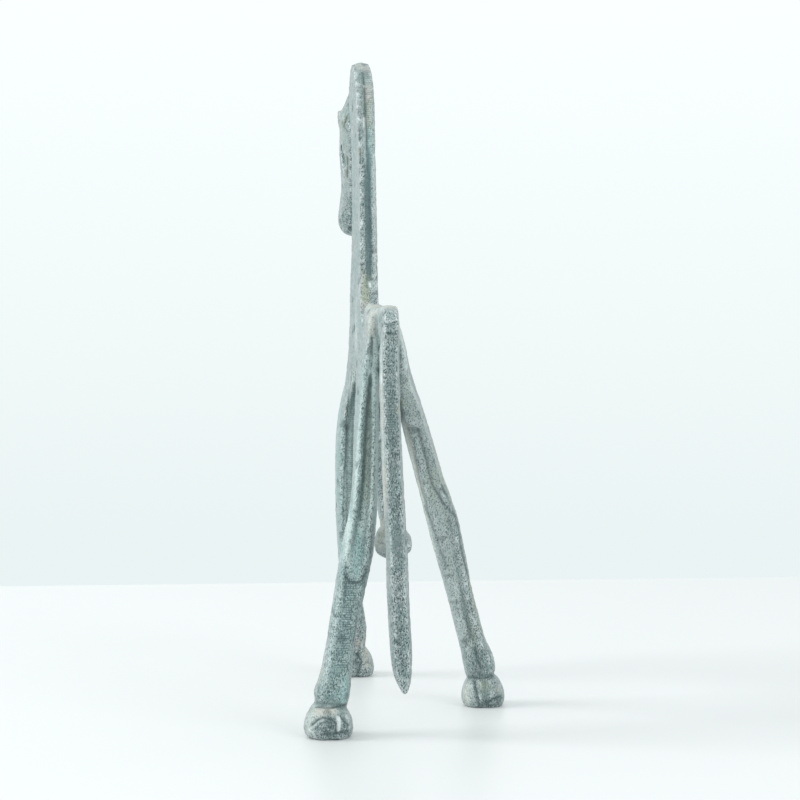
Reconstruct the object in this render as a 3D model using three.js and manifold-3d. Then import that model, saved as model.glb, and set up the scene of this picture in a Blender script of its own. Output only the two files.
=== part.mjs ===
// A standing horse, cast in bronze in one piece: a flat, long-legged figure with an arched neck.
//
// Trunk, neck and head are slabs, narrow from side to side. Every leg is a bar with a channel down
// its back, a groove runs down the crest of the neck, and the tail is a free hanging blade. Three
// hooves stand on the ground, and the off fore leg is raised with its knee bent.
//
// Millimetres. +X is the way the horse faces, +Y is its left and +Z is up. The finished casting
// stands on Z = 0, with the middle of its bounding box over the origin.

import * as THREE from 'three';
import { mergeVertices } from 'three/addons/utils/BufferGeometryUtils.js';
import Module from 'manifold-3d';

const wasm = await Module();
wasm.setup();

// Driving sizes, in millimetres and degrees

const statueHeight = 280;
const leanAngle = 1.5;

const trunkWidth = 15.6;
const neckWidth = 9.8;
const crestGroove = { width: 3.4, depth: 1.5 };

const headWidth = 15.8;
const eyeBoss = { radius: 4.2, rise: 0.5 };
const eyeHollow = { radius: 3, depth: 1.3 };
const cheekHollow = { length: 22, width: 5, depth: 1.3, inset: 1.6 };
const mouthSlit = { length: 9, height: 0.9, depth: 1.1 };
const nostril = { radius: 1.6, depth: 1.2 };
const ear = { length: 12, width: 4.4, thickness: 2.8, inset: 2.5 };

const legWidth = 12.6;
const legChannel = { width: 6.6, depth: 1.7 };

const tailWidth = 8.8;
const tailChannel = { width: 4.4, depth: 0.8 };

const hoofWidth = 19;
const hoofHeight = 13;
const hoofCleft = 1.6;

// The pose is drawn in hundredths of the statue's height.
const hundredth = statueHeight / 100;

// Corners of a bar's section after its channel, from the back round to the front. Each is a share
// of the half width and of the half depth, and the other side mirrors them.
const legCorners = [[0.66, -1], [1, -0.5], [1, 0.45], [0.62, 1], [0, 1.04]];
const tailCorners = [[0.5, -1], [1, -0.35], [0.96, 0.4], [0.55, 1], [0, 1.06]];
const neckCorners = [[0.68, -0.985], [0.78, -0.72], [1, 0.3], [0.76, 0.88], [0, 1]];
const trunkCorners = [[0.5, -0.96], [0.74, -0.55], [1, 0.25], [0.84, 0.96], [0, 1]];
const headCorners = [[0.5, -0.96], [0.92, -0.5], [1, 0.25], [0.66, 0.9], [0, 1]];
const channelFoot = 0.7;
const leastLip = 0.1;

// One row for each station down a bar: X, Y and Z of its middle, then its width as a share of the
// bar's own width, its depth in hundredths, and how wide and how deep the channel is as shares of
// the full channel. A depth below nought is a ridge.

const trunkStations = [
  [-0.4, 0.0, 57.6, 0.46, 4.6, 0, 0],
  [1.4, 0.0, 56.9, 0.52, 7.8, 0, 0],
  [4.3, 0.0, 54.8, 0.58, 12.6, 0, 0],
  [8.9, 0.0, 52.2, 0.68, 16.8, 0, 0],
  [14.0, 0.1, 51.4, 0.72, 15.8, 0, 0],
  [19.6, 0.1, 51.6, 0.73, 14.4, 0, 0],
  [25.6, 0.1, 52.0, 0.75, 14.0, 0, 0],
  [31.6, 0.1, 52.2, 0.78, 16.0, 0, 0],
  [37.5, 0.1, 52.6, 0.86, 18.4, 0, 0],
  [43.6, 0.1, 52.8, 0.98, 18.4, 0, 0],
  [47.6, 0.1, 53.6, 0.88, 14.8, 0, 0],
  [49.8, 0.1, 54.6, 0.66, 9.4, 0, 0],
  [50.6, 0.1, 54.9, 0.34, 4.4, 0, 0],
];

const neckStations = [
  [47.8, 0.3, 93.0, 0.7, 6.0, 0.6, 0],
  [44.8, 0.2, 94.9, 0.92, 8.9, 0.6, -0.1],
  [41.4, 0.1, 95.3, 1.1, 10.4, 0.6, -0.3],
  [38.8, 0.0, 93.4, 1.14, 11.0, 0.8, 0.1],
  [37.4, 0.1, 88.4, 1.08, 11.0, 1, 0.4],
  [38.0, 0.1, 80.6, 1.06, 12.8, 1, 1],
  [38.9, 0.2, 71.4, 1.1, 14.8, 1, 1],
  [39.6, 0.4, 65.0, 1.18, 17.0, 0.9, 0.6],
  [39.5, 0.5, 62.0, 1.22, 19.2, 0.7, 0.2],
  [39.4, 0.5, 59.8, 1.2, 22.0, 0.6, 0],
  [39.4, 0.3, 57.4, 1.1, 21.0, 0.6, 0],
  [39.4, 0.1, 54.0, 0.9, 14.0, 0.6, 0],
];

const headStations = [
  [44.8, 0.2, 95.0, 0.4, 5.0, 0, 0],
  [46.3, 0.2, 94.1, 0.46, 7.2, 0, 0],
  [47.4, 0.4, 92.9, 0.84, 9.2, 0, 0],
  [48.4, 0.4, 90.6, 0.95, 10.4, 0, 0],
  [49.6, 0.4, 86.2, 0.98, 9.8, 0, 0],
  [51.3, 0.4, 81.6, 0.86, 7.8, 0, 0],
  [52.6, 0.4, 78.2, 0.98, 6.3, 0, 0],
  [53.4, 0.4, 76.0, 1.08, 5.9, 0, 0],
  [54.0, 0.4, 74.3, 0.96, 4.8, 0, 0],
  [54.3, 0.4, 73.5, 0.55, 2.4, 0, 0],
];

const tailStations = [
  [1.6, 0.0, 58.7, 0.78, 3.6, 1, 0],
  [0.6, 0.0, 58.6, 0.8, 3.8, 1, 0],
  [-0.2, 0.0, 57.4, 0.82, 4.2, 1, 0],
  [-0.5, 0.1, 56.9, 0.83, 4.2, 1, 1],
  [-1.2, 0.4, 53.2, 0.88, 4.6, 1, 1],
  [-2.2, 0.6, 47.7, 0.9, 4.6, 1, 1],
  [-3.1, 0.6, 40.7, 0.93, 4.6, 1, 1],
  [-3.5, 0.5, 33.8, 0.94, 4.4, 1, 1],
  [-3.9, 0.3, 25.5, 0.96, 4.2, 1, 0.8],
  [-4.0, 0.3, 19.9, 1.0, 4.0, 1, 0.5],
  [-4.0, 0.1, 14.2, 1.0, 3.6, 1, 0],
  [-4.0, 0.0, 10.1, 0.9, 3.0, 1, 0],
  [-4.2, -0.2, 7.9, 0.62, 2.2, 0.6, 0],
  [-4.4, -0.3, 6.4, 0.16, 1.0, 0.3, 0],
];

const nearHindStations = [
  [7.2, 1.3, 60.9, 0.6, 4.4, 0.1, 0],
  [7.6, 1.6, 58.8, 0.68, 8.2, 0.1, 0],
  [7.9, 2.2, 54.9, 0.66, 11.2, 0.12, 0.5],
  [7.6, 2.7, 51.2, 0.68, 11.4, 0.18, 0.9],
  [6.8, 3.1, 47.0, 0.7, 10.7, 0.42, 1],
  [5.2, 3.5, 41.9, 0.75, 8.9, 0.64, 1],
  [3.6, 3.9, 36.2, 0.78, 7.1, 0.7, 1],
  [2.1, 4.4, 32.0, 0.85, 6.1, 0.85, 1],
  [0.5, 5.2, 27.9, 0.97, 5.2, 1, 1],
  [-0.3, 5.8, 25.2, 1.0, 4.8, 1.1, 0.6],
  [-0.9, 6.6, 21.9, 0.95, 4.3, 0.9, 0],
  [-1.0, 7.7, 16.8, 0.88, 3.8, 0.9, 0],
  [-0.8, 8.5, 12.5, 0.86, 3.8, 0.9, 0],
  [-0.6, 9.2, 8.2, 0.99, 4.5, 0.9, 0],
  [-0.6, 9.9, 5.6, 1.1, 4.6, 0.9, 0],
  [-0.3, 10.2, 4.6, 0.88, 3.4, 0.7, 0],
  [-0.2, 10.4, 2.2, 0.8, 3.4, 0.7, 0],
];

const offHindStations = [
  [7.0, -0.8, 58.8, 0.38, 4.0, 0.3, 0],
  [7.6, -1.2, 56.7, 0.54, 8.2, 0.3, 0],
  [8.8, -1.7, 53.7, 0.62, 10.6, 0.3, 0],
  [10.4, -2.4, 50.3, 0.68, 10.6, 0.4, 0],
  [11.6, -3.7, 45.8, 0.78, 9.3, 0.6, 0],
  [12.7, -4.9, 41.4, 0.84, 7.9, 0.7, 0.2],
  [13.6, -6.6, 35.1, 0.88, 6.1, 0.8, 0.3],
  [14.6, -8.0, 30.5, 1.0, 5.4, 0.9, 0.3],
  [15.2, -8.7, 27.7, 1.02, 5.0, 0.9, 0.3],
  [16.3, -9.8, 23.1, 0.97, 4.3, 0.7, 0.4],
  [17.5, -10.9, 18.4, 0.87, 3.8, 0.5, 0.6],
  [18.6, -12.1, 13.6, 0.88, 3.8, 0.5, 0.6],
  [19.6, -13.1, 9.8, 0.9, 4.1, 0.5, 0.3],
  [20.6, -14.1, 6.8, 1.06, 4.6, 0.3, 0.2],
  [20.9, -14.3, 4.9, 0.98, 4.4, 0.3, 0],
  [20.8, -14.5, 3.8, 0.78, 3.4, 0.3, 0],
  [20.6, -14.7, 2.0, 0.78, 3.4, 0.3, 0],
];

const nearForeStations = [
  [43.0, 1.0, 57.5, 0.44, 7.0, 0.2, 0.4],
  [43.4, 1.4, 54.0, 0.64, 8.6, 0.45, 1],
  [44.0, 1.8, 49.3, 0.7, 8.2, 0.6, 1],
  [44.6, 2.5, 45.4, 0.82, 7.2, 0.7, 1],
  [45.2, 3.0, 41.4, 0.93, 6.2, 0.75, 1],
  [45.5, 3.3, 36.5, 0.95, 5.4, 0.75, 1],
  [45.9, 3.4, 30.0, 0.96, 4.9, 0.75, 1],
  [46.3, 3.4, 25.7, 0.97, 5.0, 0.75, 1],
  [46.4, 3.4, 20.0, 0.88, 4.1, 0.7, 0.6],
  [46.8, 3.4, 13.0, 0.8, 3.8, 0.5, 0],
  [47.2, 3.1, 8.4, 0.93, 4.4, 0.5, 0],
  [47.7, 3.1, 5.8, 0.81, 3.7, 0.5, 0],
  [48.4, 3.0, 4.0, 0.78, 3.3, 0.5, 0],
  [48.6, 2.9, 2.0, 0.78, 3.3, 0.5, 0],
];

const offForeStations = [
  [42.8, -0.6, 56.5, 0.4, 6.4, 0.2, 0],
  [43.6, -1.4, 51.0, 0.62, 8.4, 0.4, 0.4],
  [44.9, -2.2, 45.8, 0.74, 7.4, 0.5, 1],
  [47.6, -2.8, 41.4, 0.84, 6.0, 0.65, 1],
  [51.0, -3.2, 38.6, 0.9, 5.1, 0.7, 1],
  [53.4, -3.4, 35.9, 0.96, 4.8, 0.7, 0.6],
  [53.8, -3.5, 33.0, 0.92, 4.1, 0.6, 0.6],
  [52.9, -3.6, 29.6, 0.84, 3.7, 0.6, 0.5],
  [52.0, -3.8, 27.0, 0.86, 4.1, 0.5, 0],
  [51.3, -3.8, 25.0, 0.74, 3.3, 0.5, 0],
  [50.0, -3.9, 22.6, 0.7, 3.2, 0.5, 0],
];

// A hoof stands on a flat sole. Its turn is how far that sole is tipped back, in degrees.
const hooves = [
  { at: [-1.2, 10.4, 0], width: 1.05, turn: 0 },
  { at: [20.4, -14.6, 0], width: 1.0, turn: 0 },
  { at: [48.9, 2.9, 0], width: 0.94, turn: 0 },
  { at: [48.6, -4.0, 20.6], width: 0.95, turn: 35 },
];

// A hoof's outline from the middle of its sole up, as shares of its radius and of its height.
const hoofOutline = [
  [0, 0], [0.86, 0], [0.95, 0.1], [1, 0.26], [0.97, 0.48], [0.88, 0.7], [0.75, 0.87], [0.6, 1], [0, 1],
];

// How finely each form is cut into faces: rings down a bar, sides round a hoof, and a ball's own.
const rings = { trunk: 22, neck: 26, head: 18, tail: 26, hindLeg: 34, nearForeLeg: 30, offForeLeg: 26 };
const hoofSides = 20;
const ballSides = [12, 8];
const earSides = 8;

// A bar starts as a plain closed cylinder. Each ring moves to its place down the stations, and
// each of its sides to a corner of the section there. The sections of a level bar stay upright.
function bar({ stations, width, channel, corners, rings: ringCount, isLevel = false }) {
  const sides = 2 * (corners.length + 2);
  const rowLength = stations[0].length;
  const shares = stations.map((row, index) => index / (stations.length - 1));
  const track = new THREE.CubicInterpolant(shares, stations.flat(), rowLength);
  const shallowest = Math.min(...stations.map((row) => row[rowLength - 1]));
  const geometry = new THREE.CylinderGeometry(1, 1, 1, sides, ringCount);
  const spots = geometry.attributes.position;
  for (let i = 0; i < spots.count; i += 1) {
    const share = 0.5 - spots.getY(i);
    const isMiddle = Math.hypot(spots.getX(i), spots.getZ(i)) < 0.5;
    const side = Math.round(Math.atan2(-spots.getX(i), spots.getZ(i)) / (2 * Math.PI) * sides);
    const frame = frameAt(track, share, isLevel);
    frame.row[rowLength - 1] = Math.max(shallowest, frame.row[rowLength - 1]);
    const [across, along] = isMiddle ? [0, 0] : corner(side, frame.row, width, channel, corners);
    const spot = frame.middle.clone();
    spot.addScaledVector(frame.across, across);
    spot.addScaledVector(frame.along, along);
    spots.setXYZ(i, spot.x, spot.y, spot.z);
  }
  return geometry;
}

// The middle of a bar at a share of its length, with the directions across it and through it.
function frameAt(track, share, isLevel) {
  const step = 0.002;
  const before = middleOf(track.evaluate(Math.max(0, share - step)));
  const after = middleOf(track.evaluate(Math.min(1, share + step)));
  const down = isLevel ? new THREE.Vector3(1, 0, 0) : after.sub(before).normalize();
  const row = Array.from(track.evaluate(share));
  const across = new THREE.Vector3(0, 1, 0);
  across.addScaledVector(down, -across.dot(down)).normalize();
  const along = new THREE.Vector3().crossVectors(down, across);
  return { row, middle: middleOf(row), across, along };
}

function middleOf(row) {
  return new THREE.Vector3(row[0], row[1], row[2]).multiplyScalar(hundredth);
}

// One corner of a section, as millimetres across the bar and through it. Side 0 is the middle of
// the channel, sides 1 and 2 are its foot and its lip, and the rest are the listed corners.
function corner(side, row, width, channel, corners) {
  const [widthShare, depth, channelWidth, channelDepth] = row.slice(3);
  const halfWidth = width * widthShare / 2;
  const halfDepth = depth * hundredth / 2;
  const lip = Math.max(leastLip * halfWidth, channel.width * channelWidth / 2);
  const sunk = channel.depth * channelDepth;
  const count = Math.abs(side);
  const mirror = side < 0 ? -1 : 1;
  if (count === 0) return [0, sunk - halfDepth];
  if (count === 1) return [mirror * channelFoot * lip, sunk - halfDepth];
  if (count === 2) return [mirror * lip, -halfDepth];
  const [acrossShare, alongShare] = corners[count - 3];
  const rim = acrossShare > 0 ? Math.max(acrossShare * halfWidth, lip + leastLip * halfWidth) : 0;
  return [mirror * Math.min(rim, halfWidth), alongShare * halfDepth];
}

// A hoof is a bell turned on a lathe, with a cleft pressed into its heel and a flat sole.
function hoof({ at, width, turn }) {
  const radius = hoofWidth * width / 2;
  const outline = hoofOutline.map(([out, up]) => new THREE.Vector2(out * radius, up * hoofHeight));
  const geometry = new THREE.LatheGeometry(outline, hoofSides, Math.PI / 2);
  geometry.rotateX(Math.PI / 2);
  const spots = geometry.attributes.position;
  const heel = -0.7 * radius;
  for (let i = 0; i < spots.count; i += 1) {
    const isOnMidline = Math.abs(spots.getY(i)) < 0.01;
    if (isOnMidline && spots.getX(i) < heel) spots.setX(i, spots.getX(i) + hoofCleft);
  }
  geometry.rotateY(THREE.MathUtils.degToRad(turn));
  geometry.translate(...at.map((share) => share * hundredth));
  return geometry;
}

// Carving on the head, in hundredths: the middle of each eye, cheek, nostril, mouth and ear.
const eyeSpot = [50.0, 92.4];
const cheekSpot = [47.2, 85.4];
const nostrilSpot = [54.7, 75.9];
const mouthSpot = [53.9, 74.5];
const earSpot = [48.7, 96.3];

// The head's middle plane in hundredths, the muzzle's width as a share of the head's, and angles.
const headMiddle = 0.4;
const muzzleShare = 0.97;
const earSweep = 38;
const earPinch = 4;
const faceTilt = 20;
const pupilTurn = 15;

// Moves a carving form to its spot on one side of the head, a distance out from its middle plane.
function placed(geometry, [x, z], side, out) {
  const y = headMiddle * hundredth + side * out;
  return geometry.translate(x * hundredth, y, z * hundredth);
}

// A ball pressed flat, to add as a boss or to cut as a hollow.
function pressedBall(radii, tilt = 0) {
  const geometry = new THREE.SphereGeometry(1, ...ballSides);
  geometry.scale(...radii);
  return geometry.rotateY(THREE.MathUtils.degToRad(tilt));
}

function carveHead(head) {
  const face = headWidth / 2;
  const muzzle = muzzleShare * face;
  let carved = head;
  for (const side of [-1, 1]) {
    const boss = pressedBall([eyeBoss.radius, 2 * eyeBoss.rise, eyeBoss.radius]);
    carved = carved.add(solid(placed(boss, eyeSpot, side, face - eyeBoss.rise)));
    const pupil = pressedBall([eyeHollow.radius, eyeHollow.depth, eyeHollow.radius], pupilTurn);
    carved = carved.subtract(solid(placed(pupil, eyeSpot, side, face + eyeBoss.rise)));
    const cheek = pressedBall([cheekHollow.width / 2, cheekHollow.depth, cheekHollow.length / 2], faceTilt);
    carved = carved.subtract(solid(placed(cheek, cheekSpot, side, face - cheekHollow.inset)));
    const nose = pressedBall([nostril.radius, nostril.depth, nostril.radius]);
    carved = carved.subtract(solid(placed(nose, nostrilSpot, side, muzzle)));
    const slit = new THREE.BoxGeometry(mouthSlit.length, 2 * mouthSlit.depth, mouthSlit.height);
    slit.rotateY(THREE.MathUtils.degToRad(-faceTilt));
    carved = carved.subtract(solid(placed(slit, mouthSpot, side, muzzle)));
    const point = new THREE.ConeGeometry(ear.width / 2, ear.length, earSides, 1);
    point.scale(1, 1, ear.thickness / ear.width);
    point.rotateZ(THREE.MathUtils.degToRad(-earSweep));
    point.rotateX(THREE.MathUtils.degToRad(90 + side * earPinch));
    carved = carved.add(solid(placed(point, earSpot, side, ear.inset)));
  }
  return carved;
}

// The wasm library needs one closed skin, so vertices at the same place are joined first.
function solid(geometry) {
  geometry.deleteAttribute('normal');
  geometry.deleteAttribute('uv');
  const closed = mergeVertices(geometry, 1e-4);
  return new wasm.Manifold(new wasm.Mesh({
    numProp: 3,
    vertProperties: new Float32Array(closed.attributes.position.array),
    triVerts: new Uint32Array(closed.index.array),
  }));
}

const trunk = {
  stations: trunkStations, width: trunkWidth, channel: crestGroove, corners: trunkCorners,
  rings: rings.trunk, isLevel: true,
};
const neck = {
  stations: neckStations, width: neckWidth, channel: crestGroove, corners: neckCorners,
  rings: rings.neck,
};
const head = {
  stations: headStations, width: headWidth, channel: crestGroove, corners: headCorners,
  rings: rings.head,
};
const tail = {
  stations: tailStations, width: tailWidth, channel: tailChannel, corners: tailCorners,
  rings: rings.tail,
};
const legs = [
  { stations: nearHindStations, rings: rings.hindLeg },
  { stations: offHindStations, rings: rings.hindLeg },
  { stations: nearForeStations, rings: rings.nearForeLeg },
  { stations: offForeStations, rings: rings.offForeLeg },
].map((leg) => ({ ...leg, width: legWidth, channel: legChannel, corners: legCorners }));

const casting = [
  ...[trunk, neck, tail, ...legs].map((each) => solid(bar(each))),
  carveHead(solid(bar(head))),
  ...hooves.map((each) => solid(hoof(each))),
].reduce((whole, each) => whole.add(each));

// A casting has no sealed pockets, so where the bars close around one, only the outer skin is kept.
const skins = casting.decompose().sort((one, other) => other.volume() - one.volume());
const faces = skins[0].getMesh();

// The whole casting leans to its left, then moves until the ground and the middle are right.
const shape = new THREE.BufferGeometry();
shape.setAttribute('position', new THREE.BufferAttribute(faces.vertProperties, 3));
shape.setIndex(new THREE.BufferAttribute(faces.triVerts, 1));
const lean = Math.tan(THREE.MathUtils.degToRad(leanAngle));
shape.applyMatrix4(new THREE.Matrix4().makeShear(0, 0, 0, 0, 0, lean));
shape.computeBoundingBox();
const middle = shape.boundingBox.getCenter(new THREE.Vector3());
shape.translate(-middle.x, -middle.y, -shape.boundingBox.min.z);

const bronze = new THREE.MeshStandardMaterial({
  color: 0x96a5a5, roughness: 0.8, metalness: 0.35, flatShading: true,
});
const horse = new THREE.Mesh(shape, bronze);
horse.name = 'horse';

const statuette = new THREE.Group();
statuette.add(horse);

export default statuette;
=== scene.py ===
import math

import bmesh
import bpy
import numpy as np
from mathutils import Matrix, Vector, noise
from mathutils.bvhtree import BVHTree


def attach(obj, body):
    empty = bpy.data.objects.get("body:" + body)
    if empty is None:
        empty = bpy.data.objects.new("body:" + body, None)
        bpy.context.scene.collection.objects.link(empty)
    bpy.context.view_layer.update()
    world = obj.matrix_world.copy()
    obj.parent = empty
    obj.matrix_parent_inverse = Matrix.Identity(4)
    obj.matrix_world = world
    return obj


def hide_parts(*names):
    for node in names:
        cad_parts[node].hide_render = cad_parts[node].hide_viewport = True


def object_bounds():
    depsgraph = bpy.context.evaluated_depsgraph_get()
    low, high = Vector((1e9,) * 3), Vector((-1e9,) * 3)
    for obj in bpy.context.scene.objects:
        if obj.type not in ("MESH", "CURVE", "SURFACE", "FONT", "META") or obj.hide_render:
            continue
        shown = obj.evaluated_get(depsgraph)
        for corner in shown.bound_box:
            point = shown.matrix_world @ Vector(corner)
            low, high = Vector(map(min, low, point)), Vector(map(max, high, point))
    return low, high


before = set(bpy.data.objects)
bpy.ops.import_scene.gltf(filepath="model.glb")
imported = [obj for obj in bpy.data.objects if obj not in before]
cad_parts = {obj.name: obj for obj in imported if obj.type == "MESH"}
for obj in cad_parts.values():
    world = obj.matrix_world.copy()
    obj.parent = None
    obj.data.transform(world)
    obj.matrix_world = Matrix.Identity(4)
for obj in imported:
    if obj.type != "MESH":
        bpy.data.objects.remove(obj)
cad_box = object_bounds()
scene = bpy.context.scene

# The camera: a long lens at about the height of the horse's back, straight behind it and slightly
# to its left. It looks down by two degrees.
camera_spot = Vector((-0.85989, 0.08201, 0.16081))
camera_turn = math.radians(-5.5)
camera_dip = math.radians(-2.0)
camera_lens = 90
camera_film = 36
camera_nearest = 0.01
photo_side = 800

view = Vector((math.cos(camera_turn) * math.cos(camera_dip),
               math.sin(camera_turn) * math.cos(camera_dip),
               math.sin(camera_dip)))
camera_data = bpy.data.cameras.new("camera")
camera_data.lens = camera_lens
camera_data.sensor_width = camera_film
camera_data.clip_start = camera_nearest
camera = bpy.data.objects.new("camera", camera_data)
camera.location = camera_spot
camera.rotation_euler = view.to_track_quat("-Z", "Y").to_euler()
scene.collection.objects.link(camera)
scene.camera = camera
scene.view_settings.view_transform = "Standard"

# The floor: plain, matt and nearly white. Its far edge runs close behind the horse, and the paler
# light of the surroundings shows above it.
floor_colour = (0.705, 0.72, 0.72, 1)
floor_roughness = 0.4
floor_back = 0.41
floor_front = -2.4
floor_half_width = 2.0
floor_reach = ((floor_back - floor_front) / 2, floor_half_width, 1)
floor_middle = ((floor_back + floor_front) / 2, 0, 0)

floor_bmesh = bmesh.new()
bmesh.ops.create_grid(floor_bmesh, x_segments=1, y_segments=1, size=1)
bmesh.ops.scale(floor_bmesh, vec=floor_reach, verts=floor_bmesh.verts)
bmesh.ops.translate(floor_bmesh, vec=floor_middle, verts=floor_bmesh.verts)
floor_mesh = bpy.data.meshes.new("plain_floor")
floor_bmesh.to_mesh(floor_mesh)
floor_bmesh.free()
floor = bpy.data.objects.new("plain_floor", floor_mesh)
scene.collection.objects.link(floor)
floor_finish = bpy.data.materials.new("pale_floor_finish")
floor_finish.use_nodes = True
floor_shader = floor_finish.node_tree.nodes["Principled BSDF"]
floor_shader.inputs["Base Color"].default_value = floor_colour
floor_shader.inputs["Roughness"].default_value = floor_roughness
floor_mesh.materials.append(floor_finish)

# Soft studio light: even surroundings, paler above than below, and two large lamps. The stronger
# one stands to the horse's left, so faces that turn left are pale and those that turn back or
# right are duller. The weaker one stands behind and to the right.
room_low = (0.79, 0.86, 0.86, 1)
room_high = (0.94, 0.985, 0.99, 1)
room_fade_low = -0.1
room_fade_high = 0.2
room_strength = 1.05
lamps = {
    "left_lamp": {"spot": (0.0, 1.4, 0.9), "size": 0.7, "power": 13},
    "right_lamp": {"spot": (-0.9, -0.8, 0.8), "size": 0.6, "power": 3.5},
}

room = bpy.data.worlds.new("room")
room.use_nodes = True
room_nodes = room.node_tree.nodes
room_links = room.node_tree.links
room_split = room_nodes.new("ShaderNodeSeparateXYZ")
room_place = room_nodes.new("ShaderNodeTexCoord")
room_links.new(room_place.outputs["Generated"], room_split.inputs["Vector"])
room_range = room_nodes.new("ShaderNodeMapRange")
room_range.inputs["From Min"].default_value = room_fade_low
room_range.inputs["From Max"].default_value = room_fade_high
room_links.new(room_split.outputs["Z"], room_range.inputs["Value"])
room_mix = room_nodes.new("ShaderNodeMix")
room_mix.data_type = "RGBA"
room_mix.inputs["A"].default_value = room_low
room_mix.inputs["B"].default_value = room_high
room_links.new(room_range.outputs["Result"], room_mix.inputs["Factor"])
room_links.new(room_mix.outputs["Result"], room_nodes["Background"].inputs["Color"])
room_nodes["Background"].inputs["Strength"].default_value = room_strength
scene.world = room
horse_middle = (Vector(cad_box[0]) + Vector(cad_box[1])) / 2
for lamp_name, lamp in lamps.items():
    lamp_data = bpy.data.lights.new(lamp_name, "AREA")
    lamp_data.size = lamp["size"]
    lamp_data.energy = lamp["power"]
    lamp_object = bpy.data.objects.new(lamp_name, lamp_data)
    lamp_object.location = lamp["spot"]
    lamp_aim = horse_middle - Vector(lamp["spot"])
    lamp_object.rotation_euler = lamp_aim.to_track_quat("-Z", "Y").to_euler()
    scene.collection.objects.link(lamp_object)

# The horse: one solid bronze casting. It keeps the form of the part, whose facets are worked
# smooth here, and carries the grain, the pits and the furrows of the cast skin.
mm = 0.001
weld_gap = 0.001 * mm
skin_voxel = 0.62 * mm
smooth_share = 0.5
smooth_rounds = 5
triangle_limit = 196000
sight_nearest = 0.76
sight_farthest = 0.96
sight_step = 0.002

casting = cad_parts["horse"].copy()
casting.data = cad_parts["horse"].data.copy()
casting.name = casting.data.name = "horse_casting"
casting.parent = None
scene.collection.objects.link(casting)
casting_bmesh = bmesh.new()
casting_bmesh.from_mesh(casting.data)
bmesh.ops.remove_doubles(casting_bmesh, verts=casting_bmesh.verts, dist=weld_gap)
casting_bmesh.to_mesh(casting.data)
sight_tree = BVHTree.FromBMesh(casting_bmesh)
casting_bmesh.free()


def spot(across, down):
    """The place on the casting at, or nearest to, a pixel of the photograph, in millimetres."""
    reach = photo_side * camera_lens / camera_film
    aim = camera.rotation_euler.to_matrix() @ Vector(
        (across - photo_side / 2, photo_side / 2 - down, -reach)).normalized()
    place = sight_tree.ray_cast(camera_spot, aim)[0]
    if place is None:
        distances = np.arange(sight_nearest, sight_farthest, sight_step)
        finds = [sight_tree.find_nearest(camera_spot + aim * distance) for distance in distances]
        place = min(finds, key=lambda found: found[3])[0]
    return np.array(place) / mm


def work_modifier(kind, **settings):
    modifier = casting.modifiers.new(kind.lower(), kind)
    for name, value in settings.items():
        setattr(modifier, name, value)
    bpy.context.view_layer.update()
    worked = bpy.data.meshes.new_from_object(
        casting.evaluated_get(bpy.context.evaluated_depsgraph_get()))
    casting.modifiers.clear()
    casting.data = worked


work_modifier("REMESH", mode="VOXEL", voxel_size=skin_voxel, adaptivity=0)
work_modifier("SMOOTH", factor=smooth_share, iterations=smooth_rounds)


def read_points():
    flat = np.empty(len(casting.data.vertices) * 3, np.float32)
    casting.data.vertices.foreach_get("co", flat)
    return flat.reshape(-1, 3).astype(float) / mm


def read_normals():
    flat = np.empty(len(casting.data.vertices) * 3, np.float32)
    casting.data.vertex_normals.foreach_get("vector", flat)
    return flat.reshape(-1, 3).astype(float)


def write_points(points):
    casting.data.vertices.foreach_set("co", (points * mm).astype(np.float32).ravel())
    casting.data.update()


def averaged(values, ends, rounds):
    """Values evened out over the skin, by so many rounds of averaging with the neighbours."""
    count = np.bincount(ends.ravel(), minlength=len(values))[:, None]
    for _ in range(rounds):
        total = np.stack([
            np.bincount(ends[:, 0], values[ends[:, 1], axis], len(values))
            + np.bincount(ends[:, 1], values[ends[:, 0], axis], len(values))
            for axis in range(values.shape[1])], axis=1)
        values = (values + total / count) / 2
    return values


points = read_points()
ends = np.empty(len(casting.data.edges) * 2, np.int32)
casting.data.edges.foreach_get("vertices", ends)
ends = ends.reshape(-1, 2)

# A trail follows the skin in steps of so many pixels, and breaks where it would jump further than
# this, in millimetres, to another part of the horse. It is worked out only on the skin within so
# many widths of it.
trail_step = 5
trail_break = 9
trail_widths = 2.5
shortest_run = 1e-9


def near(trail, width):
    """How close each place lies to a trail of photo pixels: 1 on it, and fading over a width."""
    marks = [spot(*trail[0])]
    for (across, down), (next_across, next_down) in zip(trail, trail[1:]):
        steps = max(1, round(math.hypot(next_across - across, next_down - down) / trail_step))
        for share in np.arange(1, steps + 1) / steps:
            share_across = across + (next_across - across) * share
            share_down = down + (next_down - down) * share
            marks.append(spot(share_across, share_down))
    low = np.min(marks, axis=0) - trail_widths * width
    high = np.max(marks, axis=0) + trail_widths * width
    around = np.flatnonzero(((points > low) & (points < high)).all(1))
    closeness = np.zeros(len(points))
    for start, end in zip(marks, marks[1:] or marks):
        run = end - start
        if run @ run > trail_break ** 2:
            run = run * 0
        share = np.clip((points[around] - start) @ run / max(run @ run, shortest_run), 0, 1)
        gap = np.linalg.norm(points[around] - start - share[:, None] * run, axis=1)
        closeness[around] = np.maximum(closeness[around], np.exp(-(gap / width) ** 2))
    return closeness


def strongest(strokes):
    covers = [strength * near(trail, width) for trail, width, strength in strokes.values()]
    return np.max(covers, axis=0)


def grain(size, seed=0.0):
    """Smooth noise over the skin, about -1 to 1, with lumps of a size in millimetres."""
    return np.array([noise.noise(Vector(point)) for point in points / size + seed])


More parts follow.
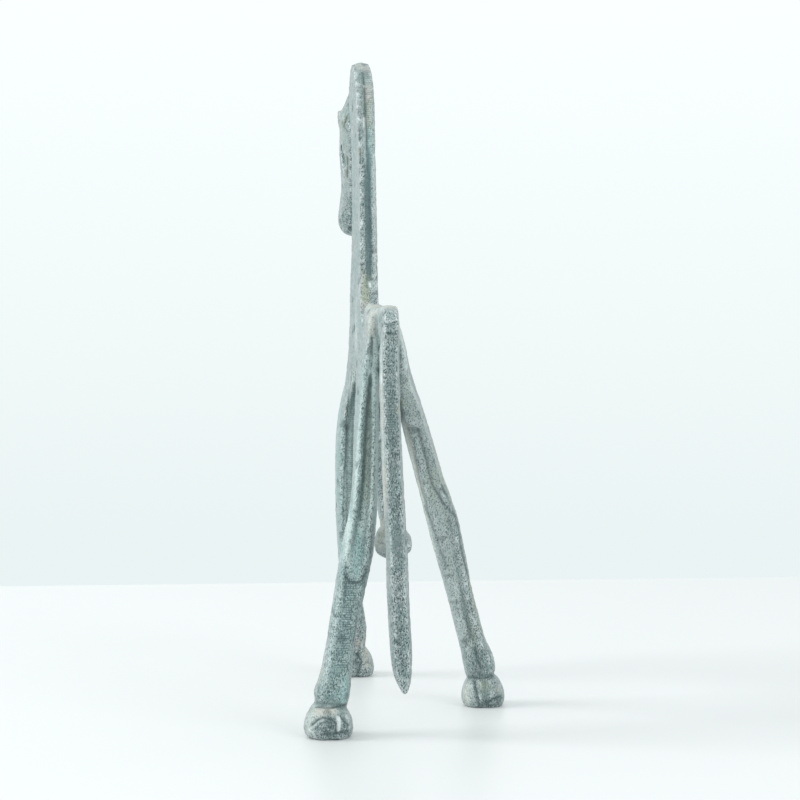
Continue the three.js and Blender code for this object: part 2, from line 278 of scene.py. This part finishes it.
# Each stroke in the tables below is a trail of photo pixels, then a width in millimetres, then
# its strength or, for what is cut into the bronze, its depth in millimetres.
worn_smooth = {
    "left of the poll": ([(353, 64), (350.5, 72)], 2.6, 1.0),
    "off shank": ([(444, 540), (452, 570), (458, 600), (466, 640)], 2.4, 0.85),
    "top of the hip": ([(366, 309), (379, 309)], 3.0, 1.0),
    "front of the haunch": ([(364, 322), (362, 350)], 2.6, 0.9),
    "withers": ([(360, 296), (370, 300)], 3.0, 0.7),
}
worn_rounds = 60
points += (averaged(points, ends, worn_rounds) - points) * strongest(worn_smooth)[:, None]
write_points(points)
normals = read_normals()

# How far each place stands out from the skin around it, in millimetres: rims above, hollows below.
fine_rounds = 14
broad_rounds = 90
facing_rounds = 6
form_least = 0.05
form_range = 0.14
hollow_range = 0.5
fine_form = ((points - averaged(points, ends, fine_rounds)) * normals).sum(1)
broad_form = ((points - averaged(points, ends, broad_rounds)) * normals).sum(1)
rim = np.clip((fine_form - form_least) / form_range, 0, 1)
crease = np.clip((-fine_form - form_least) / form_range, 0, 1)
hollow = np.clip(-broad_form / hollow_range, 0, 1)
facing_back = np.clip(-averaged(normals, ends, facing_rounds)[:, 0], 0, 1)

# The grain of the cast skin: the size of each kind of lump and its depth, in millimetres. The last
# number of a grain only shifts it, so that no two kinds lie alike.
lump_depth = 0.15
dimple_depth = 0.15
rough_dimple_depth = 0.16
crumb_depth = 0.19
pit_depth = 0.3
rough_knob_depth = 0.35
rim_notch_depth = 0.5
pit_start = 0.42
pit_edge = 0.2
lumps = grain(9.0)
dimples = grain(3.2, 17.0)
crumbs = grain(1.5, 41.0)
knobs = grain(5.0, 97.0)
pits = np.clip((grain(4.6, 71.0) - pit_start) / pit_edge, 0, 1)
rough_cast = strongest({
    "hooves": ([(314, 724), (342, 724)], 7.0, 1.0),
    "off hoof": ([(472, 694), (494, 694)], 6.0, 1.0),
    "near fore hoof": ([(362, 660)], 7.0, 0.8),
    "neck": ([(356, 120), (356, 290)], 5.0, 0.7),
    "withers": ([(354, 300), (352, 350)], 5.0, 0.5),
})
relief = lump_depth * lumps + (dimple_depth + rough_dimple_depth * rough_cast) * dimples
relief += crumb_depth * crumbs
relief -= pit_depth * pits
relief += rough_knob_depth * rough_cast * knobs
relief -= rim * np.clip(dimples + crumbs, 0, 1) * rim_notch_depth

furrows = {
    "hollow under the eye": ([(346.8, 116), (343.2, 126)], 0.9, 0.5),
    "fold below the eye": ([(340, 123), (343.6, 127), (347.8, 132)], 0.5, 0.35),
    "cheek": ([(347, 158), (347, 176)], 1.0, 0.5),
    "nostril": ([(350, 228)], 0.8, 0.5),
    "pit on the muzzle": ([(342.7, 215.7)], 0.7, 0.5),
    "upper pit on the neck": ([(360.4, 97.4)], 0.6, 0.4),
    "pit behind the eye": ([(357.4, 112.4)], 0.7, 0.5),
    "hole in the crest": ([(358.6, 131), (359, 140)], 0.8, 0.7),
    "hole below it": ([(359.5, 149), (359.5, 155)], 0.8, 0.6),
    "pit above the withers": ([(359.7, 251.8)], 0.7, 0.5),
    "pit at the withers": ([(360.3, 264.7)], 0.8, 0.6),
    "left edge of the crest": ([(362.8, 73), (364.8, 92), (365.4, 118), (366.4, 150)], 0.5, 0.45),
    "edge of the tail's root": ([(383, 333.5), (396, 333.5)], 0.5, 0.5),
    "side of the tail's root": ([(381, 316), (381.5, 332)], 0.5, 0.3),
    "seam of the haunch": ([(372, 337), (371.5, 372)], 0.6, 0.5),
    "end of the near hind channel": (
        [(346.5, 577), (350, 582), (356, 583), (362, 581), (365, 576)], 0.55, 0.5),
    "edge beside the shank": ([(345.5, 562), (345, 595)], 0.5, 0.4),
    "right edge of the shank": ([(358, 600), (354.5, 642)], 0.5, 0.3),
    "under the near hind fetlock": ([(316, 706), (331, 707), (346, 705)], 0.7, 0.7),
    "fold of the near hind hoof": (
        [(311, 725), (317, 720), (324, 717.5), (331, 719), (335.5, 723), (336, 731)], 0.5, 0.7),
    "ridge of the near hind hoof": ([(338.6, 718), (339, 730)], 0.8, -0.6),
    "cleft of the near hind hoof": ([(341, 717), (345, 722), (349, 725)], 0.55, 0.55),
    "foot of the near hind hoof": ([(321, 735), (335, 734), (348, 732)], 0.55, 0.5),
    "low fold of the near hind hoof": ([(316, 730), (330, 727)], 0.5, 0.35),
    "upper furrow of the off shank": ([(455, 604), (459, 616)], 0.55, 0.35),
    "main furrow of the off shank": ([(460.6, 604), (464, 616), (468, 627), (469.6, 637)], 0.6, 0.45),
    "short furrow beside it": ([(469.6, 600), (473.5, 613)], 0.55, 0.35),
    "furrow above the off fetlock": ([(475, 649), (477, 660), (480.5, 668), (480, 676)], 0.5, 0.35),
    "under the off fetlock": ([(468, 677), (480, 678), (493, 676)], 0.6, 0.6),
    "step on the off shank": ([(450, 602), (470, 601)], 0.6, 0.25),
    "right seam of the off hind leg": (
        [(418, 430), (425, 455), (432, 485), (443.6, 504), (455, 516), (459, 531), (461, 548),
         (469, 578)], 0.6, 0.4),
    "left seam of the off hind leg": (
        [(413, 440), (416, 462), (421.6, 490), (433.5, 531), (447, 568)], 0.5, 0.3),
    "edge of the near fore channel": (
        [(352, 372), (348.3, 400), (346, 440), (344.5, 480), (343, 540)], 0.6, 0.35),
    "edge of the near hind channel": (
        [(371.7, 372), (368.5, 400), (366, 440), (363.5, 480), (360, 520)], 0.6, 0.35),
    "inner fold of the near hind hoof": ([(315, 729), (322, 722.5), (330, 722), (333.5, 727)], 0.4, 0.35),
    "split of the off hoof": ([(474, 682), (476.6, 693), (479.7, 709)], 0.7, 0.7),
    "wedge of the off hoof": ([(486, 703), (493, 699.5), (501, 696)], 0.6, 0.5),
    "lower edge of that wedge": ([(487, 706), (498, 705), (502, 698)], 0.6, 0.4),
    "fold of the near fore hoof": ([(357, 654), (361.5, 661), (358, 673)], 0.6, 0.5),
    "top of the near fore hoof": ([(353, 647), (364, 645)], 0.5, 0.3),
}
# Each furrow is also painted dark along its line: painted shade in the furrows.
lines = np.zeros(len(points))
full_line_depth = 0.5
for trail, width, depth in furrows.values():
    closeness = near(trail, width)
    relief -= depth * closeness
    if depth > 0:
        lines = np.maximum(lines, closeness * min(1, depth / full_line_depth))

# Where each colour lies, with calm for where the skin has few specks, comb for its fine cross lines,
# and pale and dark for crusts that cover it in patches. Not all of it is patina: dark is partly
# crust and partly painted shade, pale is partly crust and partly painted highlight, the light
# patches are painted light, and glint is painted highlight.
stains = {
    "calm": {
        "left of the neck": ([(357, 72), (358, 180), (359, 290)], 2.6, 0.8),
        "left of the near fore leg": ([(341, 385), (338, 420), (337, 480), (339, 560)], 1.8, 0.8),
        "crest": ([(368, 66), (368, 150)], 2.6, 1.0),
        "right rim of the neck": ([(374, 150), (375, 290)], 1.0, 0.8),
        "off hind leg": ([(403, 345), (419, 430), (438, 500), (453, 580), (462, 640)], 5.0, 0.65),
        "off fetlock": ([(476, 655), (480, 670)], 5.0, 0.4),
        "raised hoof": ([(380, 542), (405, 542)], 6.0, 0.7),
        "hip": ([(366, 308), (392, 306)], 2.6, 1.0),
        "front of the haunch": ([(372, 312), (374, 400)], 2.6, 1.0),
        "left of the tail": ([(381, 345), (385, 520)], 1.0, 0.9),
        "near fore channel": ([(354, 380), (350, 440), (349, 560)], 1.8, 0.8),
        "near hind channel": ([(370, 380), (368, 440), (367, 505), (360, 540)], 1.8, 0.5),
        "near hind hoof": ([(312, 722), (335, 712)], 4.0, 0.6),
        "off hind hoof": ([(468, 696), (498, 688)], 4.0, 0.5),
    },
    "comb": {
        "near hind shank": ([(351, 584), (349, 612), (345, 640), (342, 664)], 3.0, 1.0),
        "root of the tail": ([(390, 385), (391, 440)], 2.4, 0.9),
        "crest": ([(368.5, 75), (369.5, 280)], 1.6, 0.6),
        "near fore channel": ([(354, 390), (350, 500)], 1.8, 0.5),
    },
    # Painted light: a paler colour where the channels, the off hind leg, the rump and the croup come out too
    # dark under the lamps.
    "painted_light": {
        "near fore channel": ([(356, 372), (353.5, 402), (350, 440), (348.5, 480), (347, 560)], 2.2, 0.9),
        "near hind channel": ([(372, 375), (371, 400), (369, 440), (368, 505), (362, 528)], 2.6, 1.0),
        "off hind leg": ([(400, 330), (408, 380), (419, 430), (438, 500), (453, 580), (464, 636)], 4.5, 0.5),
        "inside of the off hind leg": ([(404, 424), (420, 490), (437, 560), (452, 625)], 1.8, 0.7),
        "off haunch": ([(400, 325), (405, 355), (410, 390)], 4.0, 0.7),
        "near hind rim": ([(371, 367), (363, 395), (358.6, 430), (354, 515), (347, 545)], 1.3, 0.6),
        "rump": ([(374, 312), (375, 400)], 2.2, 0.75),
        "croup": ([(366, 306), (392, 306)], 3.0, 0.4),
        "left of the tail": ([(381, 345), (384, 520)], 1.1, 0.6),
        "near fore hoof": ([(366, 652), (368, 668)], 3.0, 0.4),
        "crest": ([(369, 80), (369, 150)], 1.8, 0.4),
        "right rim of the neck": ([(374, 120), (375, 290)], 1.0, 0.6),
        "off shank": ([(452, 570), (458, 600), (470, 645)], 1.8, 0.7),
        "raised hoof": ([(378, 540)], 4.0, 0.7),
        "left of the off hoof": ([(466, 688), (468, 702)], 2.4, 0.7),
        "flank": ([(356, 305), (356, 350)], 4.0, 0.25),
        "top of the tail": ([(388, 340), (390, 400)], 2.5, 0.2),
        "near hind hoof": ([(310, 724), (316, 714)], 3.5, 0.6),
    },
    "olive": {
        "root of the neck": ([(366, 278), (365, 300)], 1.8, 0.8),
        "near hind channel": ([(369.5, 395), (367.5, 440), (367, 500)], 1.5, 0.42),
        "inside of the off hind leg": ([(401, 402), (399, 410)], 1.6, 0.6),
        "off hoof": ([(484, 686)], 2.4, 0.6),
        "eye": ([(346.8, 117), (343.6, 125)], 1.1, 1.0),
        "cheek": ([(347.5, 158), (347, 176)], 1.3, 0.5),
        "crest": ([(368, 104), (368, 126)], 1.8, 0.45),
        "hole in the crest": ([(359.5, 150), (359.5, 154)], 1.0, 0.8),
    },
    "beige": {
        "top of the hip": ([(366, 305.5), (380, 305.5), (394, 307)], 2.0, 0.9),
        "flank": ([(365.5, 312), (365.5, 345)], 0.9, 0.55),
        "rump": ([(372, 310), (372, 332)], 2.2, 0.6),
        "crest": ([(368.5, 88), (368.5, 99)], 1.8, 0.8),
        "near hind pastern": ([(318, 711), (332, 711)], 2.2, 0.9),
        "off fore leg": ([(384, 470), (384, 534)], 2.0, 0.7),
        "near fore pastern": ([(358.5, 643)], 2.0, 0.8),
        "near fore hoof": ([(366, 650), (367, 664)], 2.2, 0.7),
        "poll": ([(361, 65), (367, 69)], 2.6, 0.4),
        "off hoof": ([(466, 688), (466, 702)], 2.0, 0.5),
        "right of the off hoof": ([(499, 690)], 1.8, 0.5),
        "inner edge of the off leg": ([(406, 426), (421, 490)], 1.6, 0.7),
        "raised hoof": ([(379, 542)], 3.0, 0.6),
        "left side of the tail": ([(381, 375), (383, 428)], 1.0, 0.8),
    },
    "teal": {
        "near hind leg": ([(372, 372), (362, 430), (358, 500), (350, 560), (343, 640), (334, 695)], 7.0, 0.3),
        "near fore leg": ([(340, 385), (338, 470), (342, 560)], 5.0, 0.35),
        "end of the near hind channel": ([(359, 530), (356, 574)], 3.2, 0.5),
        "near fore channel": ([(354, 395), (352, 440), (350, 520)], 1.8, 0.6),
        "right of the near hind channel": ([(375.5, 400), (376.5, 440), (376, 530)], 1.3, 0.6),
        "near hind shank": ([(347, 590), (343, 650), (336, 690)], 4.0, 0.3),
        "groove of the neck": ([(369, 150), (369, 200)], 1.5, 0.5),
        "near hind fetlock": ([(344.5, 680), (343.5, 702)], 1.6, 0.8),
        "crest": ([(368.5, 131), (368.5, 150)], 1.8, 0.7),
    },
    "slate": {"groove of the neck": ([(369, 152), (369.5, 272)], 1.5, 0.7)},
    # Dark is partly dark crust and partly painted shade: under the hooves and fetlocks, in the crotch, the
    # eye and the channels' edges, and down the right sides that turn from the lamps.
    "dark": {
        "right of the off hind leg": ([(412, 395), (428, 438), (440, 480), (458, 522)], 0.8, 0.9),
        "inside of the off hind leg": ([(415, 470), (423, 490), (437, 540), (446, 580)], 0.6, 0.6),
        "right edge of the crest": ([(373, 90), (373.5, 150)], 0.5, 0.6),
        "tip of the near fore channel": ([(357, 362), (356, 376)], 1.2, 0.8),
        "crotch": ([(398, 414), (402, 418)], 0.8, 0.6),
        "off hock": ([(449, 515), (455, 530)], 2.2, 0.6),
        "right of the tail": ([(400, 345), (403.5, 480), (409.5, 600)], 0.7, 0.7),
        "near hind shank": ([(350, 585), (346, 640), (339, 668)], 2.6, 0.5),
        "near hind fetlock": ([(320, 688), (330, 698), (343, 694)], 2.8, 0.7),
        "tail": ([(391.5, 345), (398.5, 560), (402, 670)], 2.0, 0.5),
        "off shank": ([(468, 639)], 1.8, 0.8),
        "off fetlock": ([(474, 672), (490, 673)], 2.2, 0.45),
        "near hind channel's edge": ([(346, 566), (345, 600)], 1.4, 0.8),
        "near hind hoof": ([(324, 733), (350, 732)], 1.6, 0.8),
        "off hoof": ([(489, 704), (499, 699)], 1.8, 1.0),
        "near fore hoof": ([(357, 668), (364, 672)], 2.0, 0.7),
        "near fore shank": ([(362, 607), (360, 638)], 1.6, 0.6),
        "eye": ([(346.4, 118), (344, 124)], 0.8, 0.6),
        "near fore channel's edge": ([(348.3, 390), (345, 470)], 0.5, 0.8),
        "left of the tail's root": ([(380, 316), (380, 332)], 0.9, 0.7),
        "raised hoof": ([(402, 536), (404, 550)], 2.2, 0.5),
        "groove of the neck": ([(369, 183), (369.5, 192)], 1.4, 0.6),
    },
    # Pale is partly pale crust and partly painted highlight: the bright edges of the tail, the neck's groove
    # and the hoof's ridge.
    "pale": {
        "left of the near hind leg": ([(340, 590), (332, 640), (323, 690)], 1.2, 0.8),
        "right of the near hind leg": ([(361, 600), (357, 645), (351, 690)], 0.8, 0.7),
        "near hind rim": ([(371, 367), (363, 395), (358.6, 430), (354, 515), (347, 545)], 1.1, 1.0),
        "right of the tail": ([(398.5, 350), (402.5, 480), (408.5, 600)], 0.6, 0.7),
        "left of the neck's groove": ([(364.5, 122), (364.5, 180)], 0.6, 0.9),
        "root of the neck": ([(370, 284.5)], 1.0, 1.0),
        "ridge of the near hind hoof": ([(339, 718), (339.5, 730)], 0.8, 1.0),
        "right of the near hind hoof": ([(347, 714), (350, 728)], 1.2, 0.5),
        "left of the tail": ([(381, 376), (381.5, 383)], 0.8, 1.0),
        "flank": ([(356, 320), (356, 345)], 3.0, 0.4),
    },
    "glint": {
        "ridge of the near hind hoof": ([(338.4, 718), (339.4, 724), (339, 730)], 0.55, 1.0),
        "off hoof": ([(471, 686)], 0.6, 0.9),
        "root of the neck": ([(369.5, 283), (370.5, 287)], 0.7, 1.0),
        "neck": ([(357.8, 165.5)], 0.45, 0.9),
        "cheek": ([(361.5, 222.4)], 0.45, 0.8),
        "crest": ([(363.7, 86)], 0.5, 0.9),
        "lower crest": ([(364, 118.4), (363.5, 126)], 0.45, 0.9),
        "withers": ([(365, 267)], 0.5, 0.8),
        "edge of the groove": ([(364.6, 124), (364.8, 165)], 0.35, 0.6),
        "left of the tail": ([(381, 376), (381.5, 383)], 0.5, 0.9),
        "near hind hoof": ([(346, 716), (349, 719)], 0.5, 0.7),
        "side of the near hind hoof": ([(308, 729), (314, 734)], 0.6, 0.5),
    },
}
speck_start = 0.3
speck_range = 0.45
speck_least = 0.22
masks = {name: strongest(strokes) for name, strokes in stains.items()}
speckled = np.clip(np.maximum((facing_back - speck_start) / speck_range, rim), speck_least, 1)
masks["specks"] = speckled * (1 - masks.pop("calm"))
masks |= {"rim": rim, "crease": crease, "hollow": hollow}
masks |= {"pit": pits, "back": facing_back, "line": lines}
points += normals * relief[:, None]
write_points(points)
for name, mask in masks.items():
    attribute = casting.data.attributes.new(name, "FLOAT", "POINT")
    attribute.data.foreach_set("value", mask.astype(np.float32))
triangles = sum(len(face.vertices) - 2 for face in casting.data.polygons)
work_modifier("DECIMATE", ratio=min(1, triangle_limit / triangles), use_collapse_triangulate=True)
casting.data.shade_smooth()

# The patina: a dry grey-green crust, blue-green in the hollows, paler where the rims are rubbed,
# and speckled dark, most of all on what faces back. Faces that turn back are also painted darker,
# and creases and furrows are painted dark, as painted shade. The horse's own marks carry it where
# they lie, and some of them are painted light, painted shade or painted highlights.
patina = bpy.data.materials.new("patinated_bronze")
patina.use_nodes = True
nodes = patina.node_tree.nodes
links = patina.node_tree.links
shader = nodes["Principled BSDF"]
place = nodes.new("ShaderNodeTexCoord").outputs["Object"]


def speckle(size, detail=2.0, roughness=0.5, stretch=(1, 1, 1)):
    """Noise through the bronze, 0 to 1, with specks of a size in millimetres."""
    mapping = nodes.new("ShaderNodeMapping")
    mapping.inputs["Scale"].default_value = stretch
    links.new(place, mapping.inputs["Vector"])
    texture = nodes.new("ShaderNodeTexNoise")
    texture.inputs["Scale"].default_value = 1 / (size * mm)
    texture.inputs["Detail"].default_value = detail
    texture.inputs["Roughness"].default_value = roughness
    links.new(mapping.outputs["Vector"], texture.inputs["Vector"])
    return texture.outputs["Fac"]


def spread(value, low, high, least=0.0, most=1.0):
    """A value between low and high, eased into one between least and most."""
    ranged = nodes.new("ShaderNodeMapRange")
    ranged.interpolation_type = "SMOOTHSTEP"
    ranged.inputs["From Min"].default_value = low
    ranged.inputs["From Max"].default_value = high
    ranged.inputs["To Min"].default_value = least
    ranged.inputs["To Max"].default_value = most
    links.new(value, ranged.inputs["Value"])
    return ranged.outputs["Result"]


def product(one, other):
    times = nodes.new("ShaderNodeMath")
    times.operation = "MULTIPLY"
    for socket, value in zip(times.inputs, (one, other)):
        if isinstance(value, float):
            socket.default_value = value
        else:
            links.new(value, socket)
    return times.outputs["Value"]


def skin(name):
    """How strong one of the masks laid on the casting is, 0 to 1."""
    attribute = nodes.new("ShaderNodeAttribute")
    attribute.attribute_name = name
    return attribute.outputs["Fac"]


def coated(under, colour, cover):
    """One colour laid over what is under it, as far as the cover goes."""
    mix = nodes.new("ShaderNodeMix")
    mix.data_type = "RGBA"
    if isinstance(under, tuple):
        mix.inputs["A"].default_value = (*under, 1)
    else:
        links.new(under, mix.inputs["A"])
    mix.inputs["B"].default_value = (*colour, 1)
    links.new(cover, mix.inputs["Factor"])
    return mix.outputs["Result"]


side_crust = (0.345, 0.40, 0.395)
# Painted shade: the darker colour for faces that turn back, away from the lamps.
painted_back_shade = (0.235, 0.315, 0.308)
# Painted light: the paler colour that stands in for light in the shaded channels and on the off hind leg.
painted_light_colour = (0.60, 0.68, 0.65)
blue_crust = (0.27, 0.36, 0.362)
lilac_crust = (0.43, 0.455, 0.47)
mottle_crust = (0.24, 0.30, 0.285)
slate_crust = (0.16, 0.26, 0.29)
teal_crust = (0.36, 0.585, 0.57)
olive_crust = (0.40, 0.43, 0.29)
beige_crust = (0.50, 0.485, 0.43)
# Pale crust for rubbed rims, also laid on as painted highlight.
pale_crust_and_highlight = (0.55, 0.62, 0.62)
# Dark crust, also laid on as painted shade.
dark_crust_and_shade = (0.105, 0.155, 0.155)
# Dark speck colour, also laid on as painted shade in the furrows and on faces that turn back.
dark_speck_and_shade = (0.04, 0.07, 0.075)
pale_speck = (0.74, 0.80, 0.79)

coarse = spread(speckle(3.2, 3), 0.38, 0.62)
flecks_down = (1, 1, 0.55)
across_marks = (0.3, 0.3, 1)
comb_step = 0.95
fine_dark = speckle(0.5, 2, 0.6, flecks_down)
fine_pale = speckle(0.45, 2, 0.6, flecks_down)
# Faces that turn back take the darker colour: painted shade.
colour = coated(side_crust, painted_back_shade, spread(skin("back"), 0.35, 0.8))
colour = coated(colour, blue_crust, spread(speckle(14), 0.42, 0.62, 0, 0.55))
colour = coated(colour, lilac_crust, spread(speckle(6, 3), 0.5, 0.66, 0, 0.6))
colour = coated(colour, mottle_crust, spread(speckle(2.4, 3, 0.6), 0.52, 0.66, 0, 0.75))
colour = coated(colour, mottle_crust, spread(speckle(1.1, 3, 0.6), 0.52, 0.62, 0, 0.7))
colour = coated(colour, olive_crust, spread(speckle(19, stretch=(1, 1, 0.5)), 0.58, 0.74, 0, 0.3))
colour = coated(colour, teal_crust, product(skin("hollow"), 0.3))
colour = coated(colour, pale_crust_and_highlight, product(coarse, skin("rim")))
# Painted light over the channels, the off hind leg, the rump and the croup.
colour = coated(colour, painted_light_colour, skin("painted_light"))
# Pale patches: partly crust, partly painted highlight.
colour = coated(colour, pale_crust_and_highlight, product(spread(speckle(1.6, 2), 0.35, 0.55), skin("pale")))
# Dark patches: partly crust, partly painted shade.
colour = coated(colour, dark_crust_and_shade, product(coarse, skin("dark")))
colour = coated(colour, dark_speck_and_shade, product(spread(fine_dark, 0.50, 0.58, 0, 0.9), skin("specks")))
colour = coated(colour, pale_speck, product(spread(fine_pale, 0.57, 0.66, 0, 0.75), skin("specks")))
colour = coated(colour, teal_crust, product(skin("teal"), 0.75))
colour = coated(colour, slate_crust, product(skin("slate"), 0.85))
colour = coated(colour, olive_crust, product(skin("olive"), 0.8))
colour = coated(colour, beige_crust, product(skin("beige"), 0.85))
# More dark specks on faces that turn back: painted shade.
colour = coated(colour, dark_speck_and_shade, product(spread(fine_dark, 0.53, 0.62, 0, 0.5), skin("back")))
wave_rate = 20
comb_lines = nodes.new("ShaderNodeTexWave")
comb_lines.bands_direction = "Z"
comb_lines.inputs["Scale"].default_value = 2 * math.pi / (wave_rate * comb_step * mm)
comb_lines.inputs["Distortion"].default_value = 2.0
comb_lines.inputs["Detail Scale"].default_value = 0.6
links.new(place, comb_lines.inputs["Vector"])
comb_gaps = spread(speckle(1.6, 2, stretch=across_marks), 0.34, 0.5)
combed = product(spread(comb_lines.outputs["Fac"], 0.35, 0.75), comb_gaps)
colour = coated(colour, dark_crust_and_shade, product(product(combed, skin("comb")), 0.85))
small_pits = spread(speckle(0.95, 2), 0.63, 0.70, 0, 0.6)
colour = coated(colour, dark_crust_and_shade, small_pits)
# Creases painted darker: painted shade.
colour = coated(colour, dark_crust_and_shade, product(skin("crease"), 0.6))
colour = coated(colour, dark_speck_and_shade, product(skin("pit"), 0.5))
# Furrows painted dark: painted shade.
colour = coated(colour, dark_speck_and_shade, product(skin("line"), 0.8))
colour = coated(colour, pale_speck, skin("glint"))
links.new(colour, shader.inputs["Base Color"])
bare_metal_share = 0.1
fine_relief = 0.4 * mm
shader.inputs["Metallic"].default_value = bare_metal_share
links.new(spread(speckle(1.2, 3), 0.3, 0.7, 0.5, 0.85), shader.inputs["Roughness"])
bump = nodes.new("ShaderNodeBump")
bump.inputs["Strength"].default_value = 1.0
bump.inputs["Distance"].default_value = fine_relief
links.new(speckle(1.0, 4, 0.7), bump.inputs["Height"])
links.new(bump.outputs["Normal"], shader.inputs["Normal"])
casting.data.materials.clear()
casting.data.materials.append(patina)

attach(casting, "root")
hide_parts("horse")
